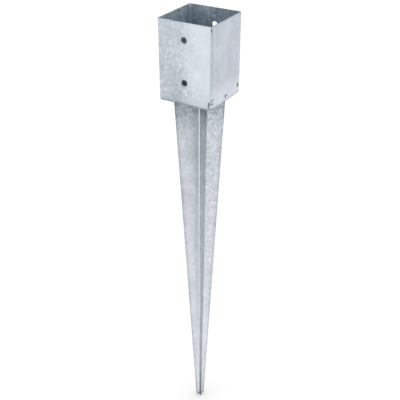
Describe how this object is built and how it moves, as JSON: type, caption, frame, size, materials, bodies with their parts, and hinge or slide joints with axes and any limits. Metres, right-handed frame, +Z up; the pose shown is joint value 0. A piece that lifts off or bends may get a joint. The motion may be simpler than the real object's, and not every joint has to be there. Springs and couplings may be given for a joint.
{
  "type": "post anchor spike",
  "caption": "Drive-in ground spike of galvanised sheet steel: an open square socket for a timber post on top of a long tapering spike of plus-shaped section.",
  "frame": {"origin": "on the spike's axis at the socket's bottom edge, which is the ground line once the spike is driven in", "axes": "+Z up along the post and the spike's axis; -Y towards the front wall and +Y towards the rear wall, which carry the bolt holes; X towards the two walls without bolt holes"},
  "size_m": [0.1078, 0.105, 0.9],
  "materials": {
    "galvanised_socket": "hot-dip galvanised sheet steel, pale blue-grey, soft cloudy mottling",
    "galvanised_plate": "hot-dip galvanised plate, dull blue-grey",
    "galvanised_spike": "hot-dip galvanised sheet steel, pale grey, blotchy zinc runs",
    "galvanised_weld": "rippled weld metal under the same zinc coat"
  },
  "bodies": {
    "root": {"socket_shell_front": "galvanised_socket", "socket_shell_rear": "galvanised_socket", "base_plate": "galvanised_plate", "blade_front": "galvanised_spike", "blade_rear": "galvanised_spike", "seam_weld_front": "galvanised_weld", "seam_weld_rear": "galvanised_weld", "plate_weld_front": "galvanised_weld", "plate_weld_right": "galvanised_weld", "plate_weld_rear": "galvanised_weld", "plate_weld_left": "galvanised_weld", "root_weld_right": "galvanised_weld", "root_weld_rear": "galvanised_weld", "root_weld_left": "galvanised_weld", "root_weld_front": "galvanised_weld", "spine_weld_right": "galvanised_weld", "spine_weld_left": "galvanised_weld"}
  },
  "joints": []
}
